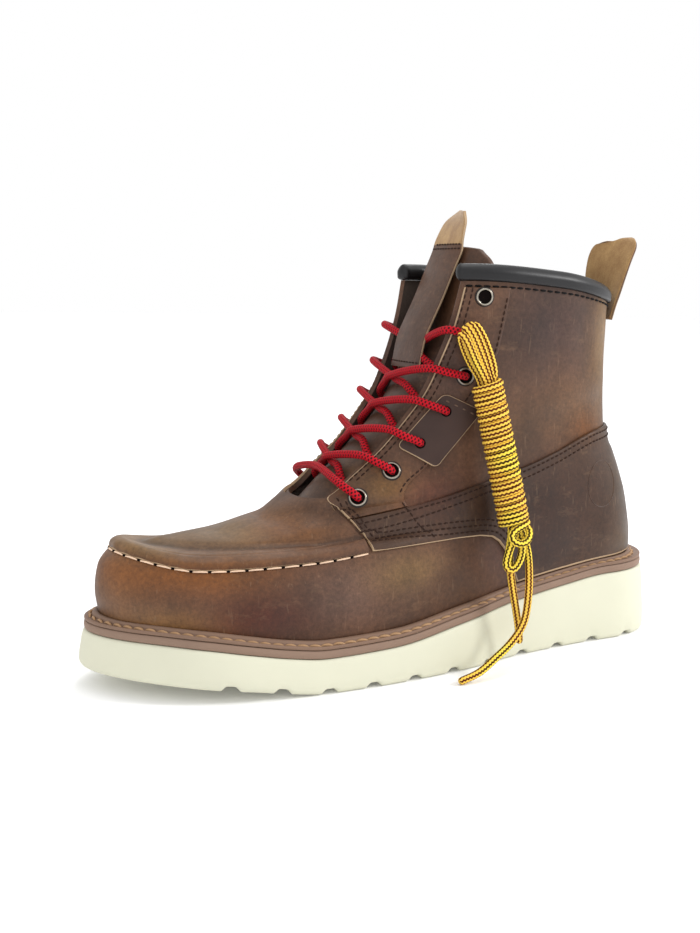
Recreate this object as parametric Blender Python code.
# Wedge sole work boot with a moc toe, left foot.
# Frame: the toe points along -X, the heel along +X, the outer (lateral) side is -Y, up is +Z.
# The floor is z = 0 and the origin is under the middle of the sole. Tables are in millimetres.
import math

import bmesh
import bpy
import numpy as np

MM = 0.001
GAP = 0.3  # between pieces that touch

# Sole stack
SOLE_TOE_X = -159.0
SOLE_HEEL_X = 160.0
MIDSOLE_THICK = 4.0
WELT_THICK = 1.8  # at its stitched ledge
BEAD_HIGH = 3.6  # the welt's raised edge against the upper, above the midsole
BEAD_WIDE = 3.2
WELT_INSET = 3.0  # the edge of welt and midsole, inside the sole's widest line
MIDDLE = (-0.5, 2.35, 0.0)  # moves the middle of the sole's outline to the origin

# Plan of the sole: half widths of each side before the ends are rounded, and its centre line
PLAN = {
    "x": (-159, -136, -112, -92, -60, -25, 20, 60, 112, 160),
    "lateral": (42, 50, 53.5, 55, 56.5, 56.0, 52.0, 42.8, 38.5, 38.5),
    "medial": (33, 39, 43.5, 46.5, 50.5, 48.0, 38.0, 34.0, 37.5, 37.5),
    "centre": (8.0, 6.6, 4.4, 3.0, 0.9, 0.0, 0.0, 0.0, 0.0, 0.0),
}
TOE_ROUND = (75.0, 2.08)  # length and power of the superellipse that rounds the toe
HEEL_ROUND = (40.0, 2.25)

# Side view of the sole: its underside, with toe spring, and the top of the pale wedge
SOLE_SIDE = {
    "x": (-159, -136, -112, -92, -75, -55, -20, 20, 56, 90, 119, 160),
    "under": (9.5, 8.6, 6.6, 4.6, 2.0, 0.0, 0.0, 0.0, 0.0, 0.0, 0.0, 0.0),
    "top": (27.0, 26.8, 24.8, 21.6, 18.6, 16.4, 17.4, 23.6, 28.8, 33.0, 36.2, 36.6),
}
SOLE_WALL = (  # levels of the wedge's side: share of the height, inset, height added
    (0.0, 3.0, 0.0),
    (0.0, 0.8, 0.9),
    (0.0, 0.0, 3.0),
    (0.55, 0.8, 0.0),
    (1.0, 2.3, -1.2),
    (1.0, 3.1, 0.0),
)
GROOVE_DEEP = 2.6
GROOVE_FLAT = 4.2
GROOVE_SLOPE = 2.6
GROOVES_X = (-103, -79, -56, -33, -10, 13, 36, 60, 84, 108, 132)

# Outer skin of the upper, a row for each ring from the sole to the collar. z_* are its heights at
# the front, at those x and at the back; nose and tail columns round its two ends in plan.
STATIONS = (-110, -60, -20, 30, 80)
RING_COLUMNS = (
    "x_front", "x_back", "z_front", "z_m110", "z_m60", "z_m20", "z_p30", "z_p80", "z_back",
    "nose_long", "nose_power", "tail_long", "tail_power", "inset",
)
RINGS = {
    "feather": (-148.8, 148.0, 32.4, 30.0, 22.0, 22.3, 30.1, 36.6, 41.0, 70, 2.08, 36, 2.2, 0),
    "swell": (-150.6, 147.4, 45.0, 42.0, 34.5, 34.5, 42.0, 49.0, 53.5, 70, 2.12, 36, 2.2, 0),
    "wall": (-149.0, 145.8, 58.0, 52.5, 49.0, 50.0, 56.5, 62.0, 65.0, 69, 2.15, 36, 2.2, 0),
    "seam": (-143.0, 143.9, 65.4, 59.2, 60.4, 65.0, 69.0, 72.5, 75.0, 68, 2.20, 36, 2.2, 0),
    "lip": (-137.6, 142.6, 67.4, 62.8, 64.2, 69.0, 73.0, 77.0, 80.0, 72, 2.10, 36, 2.2, 5),
    "vamp_low": (-120.0, 140.6, 68.0, 67.2, 68.6, 74.0, 78.0, 83.0, 86.0, 112, 1.75, 36, 2.2, 3),
    "vamp_mid": (-92.0, 138.0, 70.4, 70.0, 73.6, 79.0, 84.0, 90.0, 94.0, 104, 1.75, 36, 2.2, 0),
    "vamp_top": (-70.0, 135.2, 75.4, 75.0, 78.2, 84.0, 91.0, 97.0, 101.5, 90, 1.85, 36, 2.2, 0),
    "throat": (-52.0, 132.6, 86.4, 86.0, 86.0, 91.0, 98.0, 104.0, 108.5, 60, 2.30, 38, 2.1, 0),
    "instep_low": (-32.0, 131.2, 111.0, 110.0, 110.0, 110.0, 114.5, 119.0, 122.5, 64, 2.20, 40, 2.1, 0),
    "instep_top": (-12.2, 131.0, 139.5, 137.0, 137.0, 137.0, 137.0, 138.0, 139.5, 60, 2.20, 44, 2.0, 0),
    "ankle": (-6.7, 131.2, 154.5, 150.0, 150.0, 152.0, 152.5, 152.5, 153.0, 58, 2.20, 46, 2.0, 0),
    "shaft": (-2.3, 131.6, 172.5, 170.0, 170.0, 170.0, 170.5, 168.5, 167.0, 56, 2.20, 48, 2.0, 0),
    "collar": (0.6, 132.0, 193.5, 193.0, 193.0, 193.0, 193.6, 190.4, 181.5, 54, 2.20, 48, 2.0, 0),
}
RING_NAMES = tuple(RINGS)
SEAM, LIP, THROAT, COLLAR = (RING_NAMES.index(n) for n in ("seam", "lip", "throat", "collar"))

# Half widths of the upper before its ends are rounded: a row for each height, a column for each x
WALL_X = (-130, -100, -60, -20, 20, 60, 100, 130)
WALLS = {
    25: (44.0, 45.5, 47.6, 47.0, 43.0, 35.0, 30.8, 30.4),
    45: (45.0, 46.5, 49.2, 48.2, 43.6, 36.4, 33.0, 32.6),
    62: (36.5, 38.0, 40.5, 44.4, 42.4, 37.0, 34.6, 34.2),
    85: (34.0, 35.0, 36.0, 38.5, 39.6, 36.2, 33.8, 33.0),
    110: (30.0, 30.0, 31.0, 34.0, 36.6, 35.4, 32.0, 31.0),
    150: (30.0, 30.0, 30.0, 33.0, 36.4, 37.0, 34.0, 32.0),
    200: (30.0, 30.0, 30.0, 33.0, 37.0, 39.0, 37.0, 34.0),
}
INNER_SIDE = {  # the medial wall's width as a share of the lateral one, near the sole
    "x": (-150, -100, -60, -20, 20, 60, 110, 150),
    "share": (0.78, 0.83, 0.91, 0.88, 0.80, 0.86, 0.97, 1.0),
}
SIDES_EVEN = (60.0, 115.0)  # the two sides grow alike between these heights

LEATHER = 2.6  # wall of the upper
OVERLAY = 1.3  # leather of the pieces sewn on it
OVERLAY_GAP = 0.55  # under them: where a piece ends between two of the upper's facets, it comes closer
THROAT_GAP = {"ring": (8, 9, 10, 11, 12, 13), "y": (20, 23, 26.5, 28, 30, 32)}


def smooth(xs, ys, x):
    """Monotone cubic through the points (xs, ys), read at x. The rows of ys may differ for each x."""
    xs, ys, x = (np.asarray(a, float) for a in (xs, ys, x))
    if ys.ndim == 1:
        ys = np.broadcast_to(ys, x.shape + ys.shape)
    step = np.diff(xs)
    rise = np.diff(ys) / step
    slope = np.concatenate([rise[..., :1], rise], axis=-1)
    slope[..., -1] = rise[..., -1]
    if len(xs) > 2:
        before, after = rise[..., :-1], rise[..., 1:]
        w1, w2 = 2 * step[1:] + step[:-1], step[1:] + 2 * step[:-1]
        same = before * after > 0
        mean = (w1 + w2) / (w1 / np.where(same, before, 1) + w2 / np.where(same, after, 1))
        slope[..., 1:-1] = np.where(same, mean, 0)
    x = np.clip(x, xs[0], xs[-1])
    i = np.clip(np.searchsorted(xs, x, side="right") - 1, 0, len(step) - 1)

    def at(values, index):
        return np.take_along_axis(values, index[..., None], axis=-1)[..., 0]

    h = step[i]
    t = (x - xs[i]) / h
    low, high, start, end = at(ys, i), at(ys, i + 1), at(slope, i), at(slope, i + 1)
    straight = low * (1 + 2 * t) * (1 - t) ** 2 + high * t * t * (3 - 2 * t)
    return straight + h * (start * t * (1 - t) ** 2 - end * t * t * (1 - t))


def ease(a, b, x):
    """0 before a, 1 after b, and a smooth step between them."""
    t = np.clip((np.asarray(x, float) - a) / (b - a), 0, 1)
    return t * t * (3 - 2 * t)


def rounded(distance, long, power):
    """How much of the full width is left at a distance from a rounded end."""
    q = np.clip(1 - np.asarray(distance, float) / long, 0, 1)
    return (1 - q**power) ** (1 / power)


# Sole outline

def outline(u, inset=0.0):
    """Plan of the sole at u: 0 is the toe, 1 and -1 the heel, and negative u the lateral side."""

    def edge(u):
        share = (1 - np.cos(np.pi * u)) / 2
        x = SOLE_TOE_X + share * (SOLE_HEEL_X - SOLE_TOE_X)
        ends = rounded(x - SOLE_TOE_X, *TOE_ROUND) * rounded(SOLE_HEEL_X - x, *HEEL_ROUND)
        lateral, medial = (smooth(PLAN["x"], PLAN[side], x) for side in ("lateral", "medial"))
        y = smooth(PLAN["x"], PLAN["centre"], x) + np.where(np.sin(np.pi * u) < 0, -lateral, medial) * ends
        return np.stack([x, y], axis=-1)

    u = np.asarray(u, float)
    along = edge(u + 1e-4) - edge(u - 1e-4)
    inward = np.stack([along[..., 1], -along[..., 0]], axis=-1)
    return edge(u) + inset * inward / np.linalg.norm(inward, axis=-1, keepdims=True)


def wedge_top(x):
    return smooth(SOLE_SIDE["x"], SOLE_SIDE["top"], x)


def bed(x):
    """Where insole, welt and upper stand: the top of the midsole, and the gap above it."""
    return wedge_top(x) + GAP + MIDSOLE_THICK + GAP


# Skin of the upper

def ring_value(column, t):
    i = RING_COLUMNS.index(column)
    return smooth(range(len(RINGS)), [row[i] for row in RINGS.values()], t)


def ring_height(x, t):
    """Height of the skin at x on ring t, which may lie between two rings."""
    rows = []
    for name, row in RINGS.items():
        values = dict(zip(RING_COLUMNS, row))
        stations = [(s, z) for s, z in zip(STATIONS, row[3:8]) if s > values["x_front"] + 6]
        xs = [values["x_front"], *(s for s, _ in stations), values["x_back"]]
        zs = [values["z_front"], *(z for _, z in stations), values["z_back"]]
        rows.append(bed(x) if name == "feather" else smooth(xs, zs, x))
    return smooth(range(len(RINGS)), np.stack(rows, axis=-1), t)


def side_width(x, z, medial):
    rows = np.stack([smooth(WALL_X, widths, x) for widths in WALLS.values()], axis=-1)
    width = smooth(list(WALLS), rows, z)
    share = smooth(INNER_SIDE["x"], INNER_SIDE["share"], x)
    share = share + (1 - share) * ease(*SIDES_EVEN, z)
    return np.where(medial, width * share, width)


def skin_point(u, t):
    u, t = np.broadcast_arrays(np.asarray(u, float), np.asarray(t, float))
    shape, u, t = u.shape, u.ravel(), t.ravel()
    front, back = ring_value("x_front", t), ring_value("x_back", t)
    x = front + (1 - np.cos(np.pi * u)) / 2 * (back - front)
    z = ring_height(x, t)
    medial = np.sin(np.pi * u) > 0
    ends = rounded(x - front, ring_value("nose_long", t), ring_value("nose_power", t))
    ends = ends * rounded(back - x, ring_value("tail_long", t), ring_value("tail_power", t))
    width = (side_width(x, z, medial) - ring_value("inset", t)) * ends
    y = smooth(PLAN["x"], PLAN["centre"], x) + np.where(medial, width, -width)
    return np.stack([x, y, z], axis=-1).reshape(shape + (3,))


def skin(u, t, lift=0.0):
    """Point of the upper's skin at u round it and t up it, moved out by lift."""
    u, t = np.broadcast_arrays(np.asarray(u, float), np.asarray(t, float))
    round_it = skin_point(u + 2e-3, t) - skin_point(u - 2e-3, t)
    up_it = skin_point(u, np.minimum(t + 2e-3, COLLAR)) - skin_point(u, np.maximum(t - 2e-3, 0))
    out = np.cross(up_it, round_it)
    out /= np.linalg.norm(out, axis=-1, keepdims=True)
    return skin_point(u, t) + np.asarray(lift, float)[..., None] * out


def bisect(low, high, below):
    """The value between low and high where below() stops being true."""
    low, high = np.array(low, float), np.array(high, float)
    for _ in range(32):
        middle = (low + high) / 2
        under = below(middle)
        low, high = np.where(under, middle, low), np.where(under, high, middle)
    return (low + high) / 2


def t_at_height(u, height):
    """t at each u where the skin reaches height, a number or a function of x."""
    u = np.asarray(u, float)

    def below(t):
        point = skin_point(u, t)
        return point[..., 2] < (height(point[..., 0]) if callable(height) else height)

    return bisect(np.zeros_like(u), np.full_like(u, COLLAR), below)


def u_at_x(x, t):
    """u from 0 to 1 where ring t passes x."""
    front, back = ring_value("x_front", t), ring_value("x_back", t)
    return np.arccos(np.clip(1 - 2 * (x - front) / (back - front), -1, 1)) / np.pi


def locate(x, z):
    """(u, t) of the skin's point at x and z, with u from 0 to 1."""
    x, z = np.broadcast_arrays(np.asarray(x, float), np.asarray(z, float))
    t = bisect(np.zeros(x.shape), np.full(x.shape, float(COLLAR)), lambda t: ring_height(x, t) < z)
    return u_at_x(x, t), t


def throat_line():
    """u of the throat's edge at each t from its base to the collar."""
    t = np.linspace(THROAT, COLLAR, 41)
    gap = smooth(THROAT_GAP["ring"], THROAT_GAP["y"], t)
    u = bisect(np.zeros_like(t), np.full_like(t, 0.6), lambda u: skin_point(u, t)[..., 1] < gap)
    return t, u


THROAT_T, THROAT_U = throat_line()


def throat_u(t):
    """Half of the throat's opening at t, as u. Under the throat it keeps the value of its base."""
    return np.interp(t, THROAT_T, THROAT_U)


def throat_edge(height):
    """(u, t) where the throat's edge passes a height."""
    t = np.interp(height, skin_point(THROAT_U, THROAT_T)[:, 2], THROAT_T)
    return throat_u(t), t


# The upper's grid: its columns are numbered from the middle of the toe to the heel

NOSE_COLUMNS = 9  # to the throat's edge
SIDE_COLUMNS = 14  # from there to the heel
HEEL = NOSE_COLUMNS + SIDE_COLUMNS
SKIN_ROWS = (0, 0.5, 1, 2, 3, 3.5, 4, 4.5, 5, 6, 7, 7.5, 8, 8.5, 9, 10, 11, 12, 13)


def column_u(column, t):
    edge = throat_u(t)
    behind = edge + (1 - edge) * (column - NOSE_COLUMNS) / SIDE_COLUMNS
    return np.where(column < NOSE_COLUMNS, edge * column / NOSE_COLUMNS, behind)


def column_of(u, t):
    edge = throat_u(t)
    return np.where(u < edge, NOSE_COLUMNS * u / edge, NOSE_COLUMNS + SIDE_COLUMNS * (u - edge) / (1 - edge))


def column_at(x, t):
    """The column, with its fraction, where ring t passes x."""
    return column_of(u_at_x(x, t), t)


def column_on(line, t):
    """The column where ring t meets a line of (z, x) drawn on the side of the boot."""
    x = np.full(np.shape(t), float(np.mean(line["x"])))
    for _ in range(6):
        x = np.interp(ring_height(x, t), line["z"], line["x"])
    return column_at(x, t)


def panel(front, rear, low, high):
    """(u, t) grid of a panel between two columns and two heights. Inside, it keeps the upper's grid,
    so that the facets of both lie alike."""
    def place(column, t):
        return column_u(np.clip(column, front(t), rear(t)), t)

    columns = np.arange(HEEL + 1.0)
    every_row = np.array(SKIN_ROWS, float)
    inside = (columns > front(every_row).min()) & (columns < rear(every_row).max())
    columns = np.array([-1.0, *columns[inside], HEEL + 1.0])

    def row(height):
        def below(t):
            point = skin_point(place(columns, t), t)
            return point[..., 2] < height(point[..., 0])

        return bisect(np.zeros(columns.shape), np.full(columns.shape, float(COLLAR)), below)

    bottom, top = row(low), row(high)
    rows = np.array([r for r in SKIN_ROWS if bottom.min() < r < top.max()])
    t = np.clip(rows[:, None], bottom, top)
    t = np.concatenate([bottom[None], t, top[None]])
    return place(columns, t), t


# Objects

COLOURS = {  # base colour, roughness, metallic
    "cream_rubber": ((0.80, 0.79, 0.68), 0.6, 0.0),
    "tan_layer": ((0.33, 0.22, 0.16), 0.6, 0.0),
    "brown_leather": ((0.135, 0.065, 0.042), 0.5, 0.0),
    "dark_leather": ((0.06, 0.032, 0.025), 0.5, 0.0),
    "suede": ((0.45, 0.29, 0.13), 0.9, 0.0),
    "black_lining": ((0.012, 0.013, 0.016), 0.5, 0.0),
    "nickel": ((0.55, 0.53, 0.48), 0.3, 1.0),
    "red_lace": ((0.38, 0.01, 0.015), 0.8, 0.0),
    "yellow_lace": ((0.72, 0.42, 0.02), 0.8, 0.0),
}


def material(name):
    """A material of its own for one object, in one of the boot's colours."""
    colour, roughness, metallic = COLOURS[name]
    made = bpy.data.materials.new(name)
    made.use_nodes = True
    shader = made.node_tree.nodes["Principled BSDF"]
    shader.inputs["Base Color"].default_value = (*colour, 1)
    shader.inputs["Roughness"].default_value = roughness
    shader.inputs["Metallic"].default_value = metallic
    return made


def add(name, points, faces, colour):
    """A mesh object from points in the boot's own frame, in millimetres."""
    mesh = bpy.data.meshes.new(name)
    placed = (np.reshape(points, (-1, 3)) + MIDDLE) * MM
    mesh.from_pydata(placed.tolist(), [], faces)
    shaped = bmesh.new()
    shaped.from_mesh(mesh)
    bmesh.ops.remove_doubles(shaped, verts=shaped.verts, dist=1e-6)
    bmesh.ops.recalc_face_normals(shaped, faces=shaped.faces)
    shaped.to_mesh(mesh)
    shaped.free()
    mesh.shade_smooth()
    mesh.set_sharp_from_angle(angle=math.radians(35))
    mesh.materials.append(material(colour))
    made = bpy.data.objects.new(name, mesh)
    bpy.context.scene.collection.objects.link(made)
    return made


def strip_faces(rows, columns, first=0, around=False):
    """Triangles of a grid whose points are numbered row by row from first, all cut the same way."""
    faces = []
    for r in range(rows - 1):
        for c in range(columns if around else columns - 1):
            low, high = first + r * columns, first + (r + 1) * columns
            d = (c + 1) % columns
            faces += [(low + c, low + d, high + d), (low + c, high + d, high + c)]
    return faces


def sheet(name, outer, inner, colour):
    """A closed solid between two grids of the same size: a piece of leather with its thickness."""
    rows, columns = outer.shape[:2]
    count = rows * columns
    faces = strip_faces(rows, columns) + [f[::-1] for f in strip_faces(rows, columns, count)]
    top, bottom = range(columns), range((rows - 1) * columns, count)
    left, right = range(0, count, columns), range(columns - 1, count, columns)
    for edge in (top, bottom, left, right):
        edge = list(edge)
        faces += [(a, b, b + count, a + count) for a, b in zip(edge, edge[1:])]
    return add(name, np.concatenate([outer.reshape(-1, 3), inner.reshape(-1, 3)]), faces, colour)


def overlay(name, u, t, colour, lift=OVERLAY_GAP, thick=OVERLAY):
    """A piece cut from the upper's own skin, which lies on it."""
    return sheet(name, skin(u, t, lift + thick), skin(u, t, np.full(u.shape, lift)), colour)


def tube(points, radius, sides=6):
    """Points and faces of a round cord with flat ends."""
    points = np.asarray(points, float)
    along = np.gradient(points, axis=0)
    along /= np.linalg.norm(along, axis=1, keepdims=True)
    side = np.cross(along, (0, 0, 1.0))
    side /= np.linalg.norm(side, axis=1, keepdims=True)
    over = np.cross(side, along)
    angles = np.arange(sides) * 2 * np.pi / sides
    ring = side[:, None] * np.cos(angles)[None, :, None] + over[:, None] * np.sin(angles)[None, :, None]
    faces = strip_faces(len(points), sides, around=True)
    faces += [tuple(range(sides)), tuple(range((len(points) - 1) * sides, len(points) * sides))[::-1]]
    return (points[:, None] + radius * ring).reshape(-1, 3), faces


def through(points, count):
    """count points on a smooth curve through a few, spaced evenly along it."""
    points = np.asarray(points, float)
    steps = np.concatenate([[0], np.cumsum(np.linalg.norm(np.diff(points, axis=0), axis=1))])

    def read(at):
        return np.stack([smooth(steps, points[:, k], at) for k in range(3)], axis=-1)

    fine = read(np.linspace(0, steps[-1], 400))
    length = np.concatenate([[0], np.cumsum(np.linalg.norm(np.diff(fine, axis=0), axis=1))])
    even = np.interp(np.linspace(0, length[-1], count), length, np.linspace(0, steps[-1], 400))
    return read(even)


# Sole

def sole_stations():
    """x of each section of the outsole: close together at its ends, and at each groove's corners."""
    ends = (1 - np.cos(np.linspace(0, np.pi, 33))) / 2
    plain = SOLE_TOE_X + ends * (SOLE_HEEL_X - SOLE_TOE_X)
    half, slope = GROOVE_FLAT / 2, GROOVE_SLOPE
    corners = [x + d for x in GROOVES_X for d in (-half - slope, -half, half, half + slope)]
    away = [x for x in plain[1:-1] if min(abs(x - c) for c in corners) > 3]
    return np.sort(np.array(away + corners))


def groove(x):
    reach = np.min(np.abs(x[:, None] - np.array(GROOVES_X)), axis=1)
    return GROOVE_DEEP * np.clip((GROOVE_FLAT / 2 + GROOVE_SLOPE - reach) / GROOVE_SLOPE, 0, 1)


def slab(name, x, levels, colour):
    """A solid from levels of (inset, height), joined across at its lowest and highest."""
    u = np.arccos(1 - 2 * (x - SOLE_TOE_X) / (SOLE_HEEL_X - SOLE_TOE_X)) / np.pi
    loop = np.concatenate([[0.0], u, [1.0], -u[::-1]])
    n = len(x)
    rings = []
    for inset, height in levels:
        plan = outline(loop, inset)
        rings.append(np.concatenate([plan, height(plan[:, 0], loop)[:, None]], axis=1))
    columns = len(loop)
    faces = strip_faces(len(levels), columns, around=True)
    for base, turn in ((0, 1), ((len(levels) - 1) * columns, -1)):
        right, left = [base + 1 + i for i in range(n)], [base + columns - 1 - i for i in range(n)]
        cross = [(a, b, c, d) for a, b, c, d in zip(right, right[1:], left[1:], left)]
        cross += [(base, right[0], left[0]), (base + n + 1, left[-1], right[-1])]
        faces += [f[::turn] for f in cross]
    return add(name, np.concatenate(rings), faces, colour)


def build_outsole():
    x = sole_stations()
    cut = groove(x)
    u = np.arccos(1 - 2 * (x - SOLE_TOE_X) / (SOLE_HEEL_X - SOLE_TOE_X)) / np.pi

    def level(share, rise):
        def height(at, loop):
            depth = np.interp(np.abs(loop), u, cut)
            under = smooth(SOLE_SIDE["x"], SOLE_SIDE["under"], at)
            low = under + depth + rise * (1 - 0.7 * depth / GROOVE_DEEP)
            return np.where(share > 0, under + share * (wedge_top(at) - under) + rise, low)

        return height

    slab("outsole", x, [(inset, level(share, rise)) for share, inset, rise in SOLE_WALL], "cream_rubber")


def build_midsole():
    x = SOLE_TOE_X + (1 - np.cos(np.linspace(0, np.pi, 40)[1:-1])) / 2 * (SOLE_HEEL_X - SOLE_TOE_X)
    low = GAP
    high = GAP + MIDSOLE_THICK
    levels = [(WELT_INSET, lambda at, loop: wedge_top(at) + low),
              (WELT_INSET - 0.3, lambda at, loop: wedge_top(at) + (low + high) / 2),
              (WELT_INSET, lambda at, loop: wedge_top(at) + high)]
    slab("midsole", x, levels, "tan_layer")


def build_welt():
    """A strip round the upper's foot: a stitched ledge, and a rounded bead against the leather."""
    u = np.linspace(-1, 1, 61)[:-1]
    inner = []
    for high, lift in ((0.0, 0.45), (BEAD_HIGH * 0.8, 0.6)):
        t = t_at_height(u, lambda x: bed(x) + high)
        inner.append(skin(u, np.maximum(t, 0), lift))
    foot = inner[0]
    edge = outline(u, WELT_INSET)
    away = edge - foot[:, :2]
    away /= np.linalg.norm(away, axis=1, keepdims=True)

    def raised(step, high):
        plan = foot[:, :2] + away * step
        return np.concatenate([plan, (bed(foot[:, 0]) + high)[:, None]], axis=1)

    def rim(high):
        return np.concatenate([edge, (bed(edge[:, 0]) + high)[:, None]], axis=1)

    rings = [inner[0], inner[1], raised(BEAD_WIDE * 0.5, BEAD_HIGH), raised(BEAD_WIDE, BEAD_HIGH * 0.75),
             raised(BEAD_WIDE + 0.6, WELT_THICK), rim(WELT_THICK), rim(0.0)]
    faces = strip_faces(len(rings), len(u), around=True)
    last = (len(rings) - 1) * len(u)
    faces += [(last + c, last + (c + 1) % len(u), (c + 1) % len(u), c) for c in range(len(u))]
    add("welt", np.concatenate(rings), faces, "tan_layer")


def build_insole():
    half = np.linspace(0, 1, 22)
    thick, clear = 3.2, LEATHER + 1.0
    right, left = (skin(side * half, np.zeros(22), -clear) for side in (1, -1))
    grid = np.stack([left, (left + right) / 2, right])
    low = bed(grid[..., 0])
    outer, inner = grid.copy(), grid.copy()
    outer[..., 2], inner[..., 2] = low + thick, low
    return sheet("insole", outer[:, 1:-1], inner[:, 1:-1], "suede")


# Upper

def build_upper():
    """One hollow wall, open underneath, at the throat and at the collar."""
    rows = np.array(SKIN_ROWS, float)
    numbers = np.arange(-HEEL, HEEL)
    index, u, t = {}, [], []
    for r, row in enumerate(rows):
        for c, number in enumerate(numbers):
            if row <= THROAT or abs(number) >= NOSE_COLUMNS:
                index[r, c] = len(u)
                u.append(np.sign(number) * float(column_u(abs(number), row)))
                t.append(row)
    faces, open_sides = [], set()
    for r in range(len(rows) - 1):
        for c in range(len(numbers)):
            d = (c + 1) % len(numbers)
            corners = [(r, c), (r, d), (r + 1, d), (r + 1, c)]
            across_throat = rows[r + 1] > THROAT and abs(numbers[c] + 0.5) < NOSE_COLUMNS
            if not across_throat and all(k in index for k in corners):
                i, j, k, l = (index[corner] for corner in corners)
                faces += [(i, j, k), (i, k, l)]
                open_sides |= {(i, j), (j, k), (k, l), (l, i)}
    count = len(u)
    faces += [tuple(v + count for v in face[::-1]) for face in faces]
    faces += [(b, a, a + count, b + count) for a, b in open_sides if (b, a) not in open_sides]
    u, t = np.array(u), np.array(t)
    points = np.concatenate([skin(u, t), skin(u, t, np.full(count, -LEATHER))])
    add("upper", points, faces, "brown_leather")


FRONT_EDGE = {"z": (62, 68.5, 79, 89), "x": (-30, -30, -38, -44)}  # the quarters' edge on the plug
PLUG_LIP = {"t": (3.0, 3.5, 4.0, 4.5, 5.0, 8.0), "thick": (1.4, 2.6, 2.2, 1.1, 1.3, 1.3)}
PLUG_ROWS = (3.05, 3.5, 4.0, 4.5, 5.0, 6.0, 7.0, 7.5, 7.9)


def build_moc_plug():
    """The toe's upper panel, with the raised lip of the moc seam round its front."""
    t = np.array(PLUG_ROWS)[:, None]
    end = column_on({"z": FRONT_EDGE["z"], "x": np.array(FRONT_EDGE["x"]) - 1}, t)
    columns = np.arange(0, math.ceil(end.max()) + 1.0)
    u = column_u(np.minimum(columns, end), t)
    u = np.concatenate([-u[:, :0:-1], u], axis=1)
    t = np.broadcast_to(t, u.shape)
    overlay("moc_plug", u, t, "brown_leather", thick=np.interp(t, PLUG_LIP["t"], PLUG_LIP["thick"]))


COUNTER_TOP = {"x": (-34, -11, 3, 33, 64, 82, 112, 140), "z": (77.5, 82, 85, 92, 99.4, 105, 115, 117)}
COUNTER_FOOT = {"x": (-30, 20, 33, 43, 50, 56), "z": (64.0, 66.2, 66.0, 64, 56, 44)}


def counter_top(x):
    return smooth(COUNTER_TOP["x"], COUNTER_TOP["z"], x)


def counter_foot(x):
    low = np.interp(x, COUNTER_FOOT["x"], COUNTER_FOOT["z"])
    return np.maximum(np.where(x > COUNTER_FOOT["x"][-1], 0, low), bed(x) + BEAD_HIGH + 1.0)


def build_counter():
    """The heel piece: it wraps the heel down to the welt, and runs forward along both sides."""
    front = {"z": FRONT_EDGE["z"], "x": np.array(FRONT_EDGE["x"]) + 1}
    u, t = panel(lambda t: column_on(front, t), lambda t: HEEL + 0 * t, counter_foot, counter_top)
    u, t = np.concatenate([u, 2 - u[:, -2::-1]], axis=1), np.concatenate([t, t[:, -2::-1]], axis=1)
    overlay("counter", u, t, "dark_leather", lift=OVERLAY_GAP + 0.1)


STAY_REAR = {  # seam behind the eyelets, from the wing of the counter to the collar
    "z": (80, 85, 90, 94, 103, 130, 158, 176, 192),
    "x": (-5, -8, -9.5, -6.5, 5, 24.5, 43, 47, 49),
}
STAY_TOP = 191.0


def stay_front(t):
    """Column of the eyestay's front edge: over the plug, then along the throat."""
    over_plug = column_on({"z": FRONT_EDGE["z"], "x": np.array(FRONT_EDGE["x"]) + 1}, t)
    return np.where(t > THROAT, NOSE_COLUMNS + 0.25, np.minimum(over_plug, HEEL))


def build_eyestay(name, side):
    """The strip that carries the eyelets, along one edge of the throat."""
    u, t = panel(stay_front, lambda t: column_on(STAY_REAR, t),
                 lambda x: counter_top(x) + 2 * GAP, lambda x: 0 * x + STAY_TOP)
    overlay(name, side * u[:, ::side], t[:, ::side], "brown_leather")


COLLAR_PROFILE = (  # lift off the skin, and height above the upper's top edge
    (1.2, 0.35), (2.1, 2.6), (1.9, 5.4), (-0.4, 8.2), (-2.8, 8.5), (-5.2, 6.2), (-5.6, 2.8), (-4.4, 0.35),
)


def build_collar():
    """The padded roll that binds the top edge, from one corner of the throat round to the other."""
    start = float(throat_u(float(COLLAR)))
    u = start + (1 - start) * np.linspace(0, 1, 14)
    u = np.concatenate([u, 2 - u[-2::-1]])
    rings = []
    for lift, rise in COLLAR_PROFILE:
        rings.append(skin(u, np.full(u.shape, float(COLLAR)), lift) + (0, 0, rise))
    around = len(rings)
    faces = strip_faces(len(u), around, around=True)
    last = (len(u) - 1) * around
    faces += [tuple(range(around)), tuple(range(last, last + around))[::-1]]
    add("collar", np.stack(rings, axis=1), faces, "black_lining")


# Tongue and pull tabs

TONGUE = {  # the middle line of its front, and how far its sides lie back
    "x": (-74, -60, -48, -36, -17, 0.5, 12.0, 20.0, 25.0, 31.0, 35.2, 37.0),
    "z": (70.0, 75.8, 83.6, 94, 111, 130, 149, 160, 172, 190, 206, 211.5),
    "half": (17, 19, 21.5, 24, 26.5, 28, 29, 29.5, 30, 31, 27, 20),
    "drop": (6.5, 8.5, 10, 10.5, 11.5, 12, 12, 12, 12, 12, 8, 4),
}
TONGUE_THICK = 3.2
STRAP_HALF = 14.0
STRAP_THICK = 1.6


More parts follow.
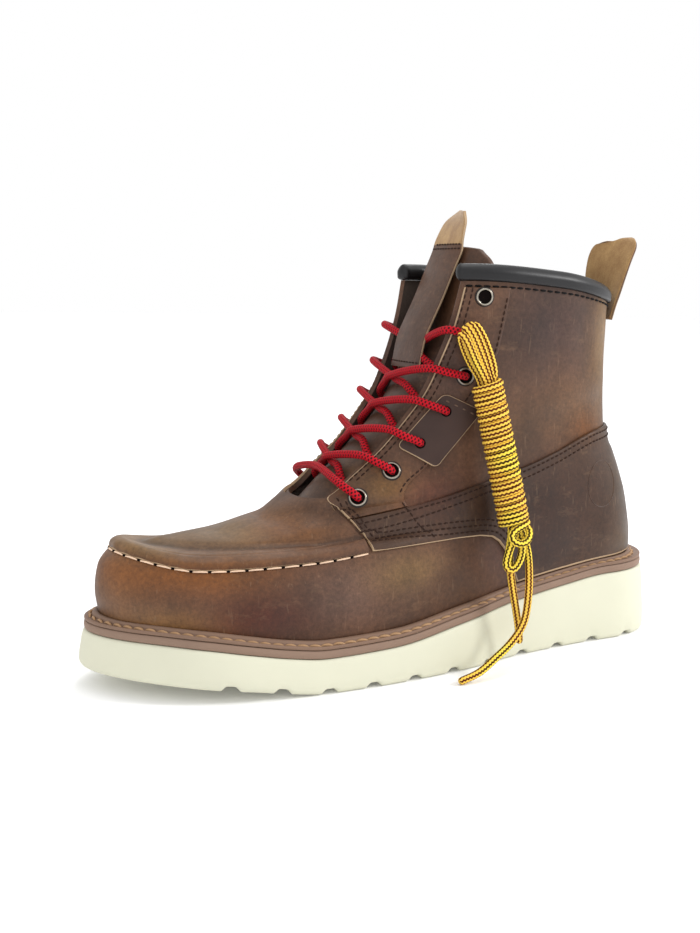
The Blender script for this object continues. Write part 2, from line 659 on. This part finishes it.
def tongue_point(row, across, lift=0.0):
    """Point of the tongue's front: row counts down the table's rows, across runs from -1 to 1."""
    row, across = np.broadcast_arrays(np.asarray(row, float), np.asarray(across, float))

    def middle(row):
        rows = range(len(TONGUE["x"]))
        return np.stack([smooth(rows, TONGUE[k], row) for k in ("x", "z")], axis=-1)

    last = len(TONGUE["x"]) - 1
    along = middle(np.minimum(row + 0.02, last)) - middle(np.maximum(row - 0.02, 0))
    along /= np.linalg.norm(along, axis=-1, keepdims=True)
    out = np.stack([-along[..., 1], along[..., 0]], axis=-1)
    half, drop = (smooth(range(last + 1), TONGUE[k], row) for k in ("half", "drop"))
    place = middle(row) + (lift - drop * np.abs(across) ** 2.4)[..., None] * out
    return np.stack([place[..., 0], half * across, place[..., 1]], axis=-1)


def tongue_row(height):
    return float(bisect(0, len(TONGUE["x"]) - 1, lambda row: tongue_point(row, 0.0)[2] < height))


def build_tongue():
    row = np.arange(len(TONGUE["x"]), dtype=float)[:, None]
    across = np.linspace(-1, 1, 9)
    grid = np.broadcast_arrays(row, across)
    outer, inner = tongue_point(*grid), tongue_point(*grid, np.full(grid[0].shape, -TONGUE_THICK))
    sheet("tongue", outer, inner, "brown_leather")


STRAP = {  # the middle line of its front: sewn down at its foot and near the tongue's top
    "x": (9.2, 10.6, 12.6, 16.5, 22.0, 28.2, 33.4),
    "z": (149, 156, 164.5, 173, 184, 198, 210),
}
STRAP_END = {  # its free end: the near edge stands up, the far edge leans back
    "near_x": (34.6, 36.0, 37.4), "near_z": (213.5, 222, 229),
    "far_x": (35.6, 41.0, 48.5), "far_z": (213.5, 223.5, 231), "narrow": (1.0, 1.0, 0.72),
}


def build_tongue_pull():
    y = STRAP_HALF * np.linspace(-1, 1, 5)
    far = (y / STRAP_HALF + 1) / 2
    lines = [np.stack([0 * y + x + 1.2 * (y / STRAP_HALF) ** 2, y, 0 * y + z], axis=-1)
             for x, z in zip(STRAP["x"], STRAP["z"])]
    for near_x, near_z, far_x, far_z, narrow in zip(*STRAP_END.values()):
        x, z = near_x + (far_x - near_x) * far, near_z + (far_z - near_z) * far
        lines.append(np.stack([x, y * narrow, z], axis=-1))
    front = np.stack(lines)
    up = np.gradient(front, axis=0)
    out = np.cross(up, (0, 1.0, 0))
    out /= -np.linalg.norm(out, axis=-1, keepdims=True)
    sheet("tongue_pull", front, front - STRAP_THICK * out, "suede")


HEEL_PULL = {  # middle line of its rear face, from its foot under the collar to its rounded end
    "x": (134.4, 136.2, 137.0, 138.0, 140.2, 143.2, 145.6),
    "z": (173.0, 180.5, 188.0, 197.0, 206.0, 213.0, 216.0),
    "half": (14, 14, 14, 14, 14, 12.5, 8.5),
    "turn": (0, 0, 1.5, 3.0, 4.0, 4.5, 4.5),
}
HEEL_PULL_THICK = 2.0


def build_heel_pull():
    """A tab sewn on the back under the collar, standing clear of it and leaning back, a little turned."""
    middle = np.stack([HEEL_PULL["x"], HEEL_PULL["z"]], axis=-1).astype(float)
    along = np.gradient(middle, axis=0)
    along /= np.linalg.norm(along, axis=1, keepdims=True)
    back = np.stack([along[:, 1], -along[:, 0]], axis=-1)
    share = np.linspace(-1, 1, 5)
    y = np.array(HEEL_PULL["half"], float)[:, None] * share
    bow = 2.6 * share**2 * np.clip(1 - np.arange(len(middle)) / 4, 0.2, 1)[:, None]
    bow = bow + np.array(HEEL_PULL["turn"], float)[:, None] * share
    grids = []
    for lift in (0.0, -HEEL_PULL_THICK):
        at = middle + lift * back
        grids.append(np.stack([at[:, :1] - bow, y, np.broadcast_to(at[:, 1:], y.shape)], axis=-1))
    sheet("heel_pull", *grids, "suede")


# Label, eyelets and laces

LABEL_CORNERS = ((-8.5, 111.5), (8.5, 101.3), (15.5, 138.0), (34.0, 129.0))  # x, z; two below, two above
LABEL_THICK = 1.0
STAY_LIFT = OVERLAY_GAP + OVERLAY
LABEL_LIFT = STAY_LIFT + 0.75
EYELETS = ((-31, 88), (-13, 100), (2, 113.5), (15.5, 129), (26, 146.5), (32, 166.5), (35, 186))
UNDER_LABEL = (3, 4)  # lateral eyelets whose rims the label covers
EYELET_PROFILE = ((2.7, 0.0), (3.5, 1.1), (4.7, 0.0))  # radius and height of its rim
LACE = 2.0  # radius


def build_label():
    a, b, c, d = np.array(LABEL_CORNERS, float)
    along, over = np.linspace(0, 1, 5)[:, None, None], np.linspace(0, 1, 3)[None, :, None]
    place = (a * (1 - over) + b * over) * (1 - along) + (c * (1 - over) + d * over) * along
    u, t = locate(place[..., 0], place[..., 1])
    overlay("label", -u, t, "dark_leather", lift=LABEL_LIFT, thick=LABEL_THICK)


def eyelet_seat(number, side):
    """(u, t) of an eyelet, and the lift of the leather under it."""
    u, t = locate(*EYELETS[number - 1])
    labelled = side < 0 and number in UNDER_LABEL
    return side * float(u), float(t), LABEL_LIFT + LABEL_THICK if labelled else STAY_LIFT


def build_eyelet(number, side, name):
    u, t, leather = eyelet_seat(number, side)
    centre, above = skin(u, t, leather + GAP), skin(u, t, leather + 5)
    out = (above - centre) / np.linalg.norm(above - centre)
    level = np.cross(out, (0, 0, 1.0))
    level /= np.linalg.norm(level)
    up = np.cross(level, out)
    turn = np.linspace(0, 2 * np.pi, 11)[:-1, None]
    rim = level * np.cos(turn) + up * np.sin(turn)
    rings = [centre + radius * rim + high * out for radius, high in EYELET_PROFILE]
    faces = strip_faces(len(rings), len(turn), around=True)
    last = (len(rings) - 1) * len(turn)
    faces += [(last + c, last + (c + 1) % len(turn), (c + 1) % len(turn), c) for c in range(len(turn))]
    add(name, np.concatenate(rings), faces, "nickel")


EDGE_ABOVE = (9, 9, 9, 8, 6, 5, 4)  # how much higher the lace crosses the throat's edge, at each eyelet


def over_eyelet(number, side):
    """The last points of a lace: over the throat's edge, and flat on the rim of its eyelet."""
    u, t, leather = eyelet_seat(number, side)
    height = EYELETS[number - 1][1] + 0.6 * EDGE_ABOVE[number - 1]
    edge_u, edge_t = throat_edge(height)
    half_u, half_t = (side * edge_u + u) / 2, (edge_t + t) / 2
    rest = leather + GAP + EYELET_PROFILE[1][1] + 0.4 + LACE
    over = skin(side * edge_u, edge_t, STAY_LIFT + LACE + 1.6)
    return [over, skin(half_u, half_t, rest + 0.8), skin(u, t, rest)]


def under_edge(number, side):
    """Where a lace comes up from under the throat's edge beside an eyelet."""
    height = EYELETS[number - 1][1] + EDGE_ABOVE[number - 1]
    edge = skin_point(*throat_edge(height))
    row = tongue_row(height - 1)
    half = np.interp(row, range(len(TONGUE["half"])), TONGUE["half"])
    across = side * (abs(edge[1]) - LACE - 2.5) / half
    return [tongue_point(row, across, LACE + 1.2), tongue_point(row + 0.2, across / 2, LACE + 1.6)]


def over_tongue(height, lift):
    return tongue_point(tongue_row(height), 0.0, LACE + lift)


def build_laces():
    bar = over_tongue(EYELETS[0][1] + EDGE_ABOVE[0] - 2, 5.5)
    route = [*over_eyelet(1, -1)[::-1], bar, *over_eyelet(1, 1)]
    add("lace_bar", *tube(through(route, 12), LACE), "red_lace")
    for i in range(1, 6):
        height = (EYELETS[i - 1][1] + EYELETS[i][1] + EDGE_ABOVE[i - 1] + EDGE_ABOVE[i]) / 2
        middle = over_tongue(height - 3, 2.6 if i < 5 else 0.5)
        strands = []
        for side in (-1, 1):
            route = [*under_edge(i, -side), middle, *over_eyelet(i + 1, side)]
            strands.append(tube(through(route, 9), LACE))
        crossing = add(f"lace_cross_{i}", *strands[0], "red_lace")
        other = add(f"lace_strand_{i}", *strands[1], "red_lace")
        other.hide_render = True
        other.display_type = "WIRE"
        join = crossing.modifiers.new("crossing", "BOOLEAN")
        join.operation = "UNION"
        join.object = other


# Spare lace: loops hung over the top lace, a wound hank, and an end that reaches the floor

HANK_AXIS = ((29.0, -47.2, 146.0), (32.0, -48.2, 132.0), (41.5, -52.6, 88.0), (45.5, -54.4, 71.0))
HANK_RADIUS = (6.2, 8.4, 8.6, 8.6, 8.4, 8.0, 6.0)
LOOPS = (
    (28.9, -47.1, 146.5), (28.2, -46.8, 149.6), (24.2, -45.8, 158.0), (19.8, -44.3, 168.0), (17.8, -43.2, 172.5),
)
LOOPS_RADIUS = (4.4, 4.8, 5.0, 4.8, 4.4, 3.0)
TAILS = {
    "spare_lace_tail_1": (
        (48.7, -54.4, 71.4), (49.4, -54.7, 68.5), (52.4, -55.2, 60.0), (53.1, -56.5, 48.7), (51.2, -59.0, 34.6),
        (47.2, -61.5, 23.8), (39.0, -64.0, 16.0), (27.9, -67.0, 10.1), (17.0, -69.0, 4.6), (7.3, -69.5, 2.1),
    ),
    "spare_lace_tail_2": (
        (42.5, -54.5, 69.7), (42.9, -54.7, 67.0), (41.9, -54.8, 61.0), (42.3, -55.0, 52.9), (44.0, -55.0, 42.3),
        (46.8, -55.0, 29.0), (48.6, -55.0, 19.4), (49.2, -55.0, 13.1),
    ),
}
SPARE_RADIUS = 1.95


def build_bundle(name, route, radii):
    """The closed outer shape of a bundle of lace."""
    sides = 10
    middle = through(route, len(radii))[:, None]
    points, faces = tube(middle[:, 0], 1.0, sides)
    spokes = points.reshape(len(radii), sides, 3) - middle
    add(name, middle + spokes * np.array(radii)[:, None, None], faces, "yellow_lace")


def build_tail(name, route):
    curve = bpy.data.curves.new(name, "CURVE")
    curve.dimensions = "3D"
    curve.bevel_depth = SPARE_RADIUS * MM
    curve.bevel_resolution = 2
    curve.use_fill_caps = True
    spline = curve.splines.new("POLY")
    points = through(route, math.ceil(1.3 * len(route)))
    spline.points.add(len(points) - 1)
    for place, point in zip(points, spline.points):
        point.co = (*((place + MIDDLE) * MM), 1)
    curve.materials.append(material("yellow_lace"))
    bpy.context.scene.collection.objects.link(bpy.data.objects.new(name, curve))


def main():
    for old in list(bpy.data.objects):
        bpy.data.objects.remove(old)
    build_outsole()
    build_midsole()
    build_welt()
    build_insole()
    build_upper()
    build_moc_plug()
    build_counter()
    build_eyestay("eyestay_lateral", -1)
    build_eyestay("eyestay_medial", 1)
    build_collar()
    build_tongue()
    build_tongue_pull()
    build_heel_pull()
    build_label()
    for number in range(1, len(EYELETS) + 1):
        build_eyelet(number, 1, f"eyelet_medial_{number}")
        if number not in UNDER_LABEL:
            build_eyelet(number, -1, f"eyelet_lateral_{number}")
    build_laces()
    build_bundle("spare_lace_hank", HANK_AXIS, HANK_RADIUS)
    build_bundle("spare_lace_loops", LOOPS, LOOPS_RADIUS)
    for name, route in TAILS.items():
        build_tail(name, route)


main()
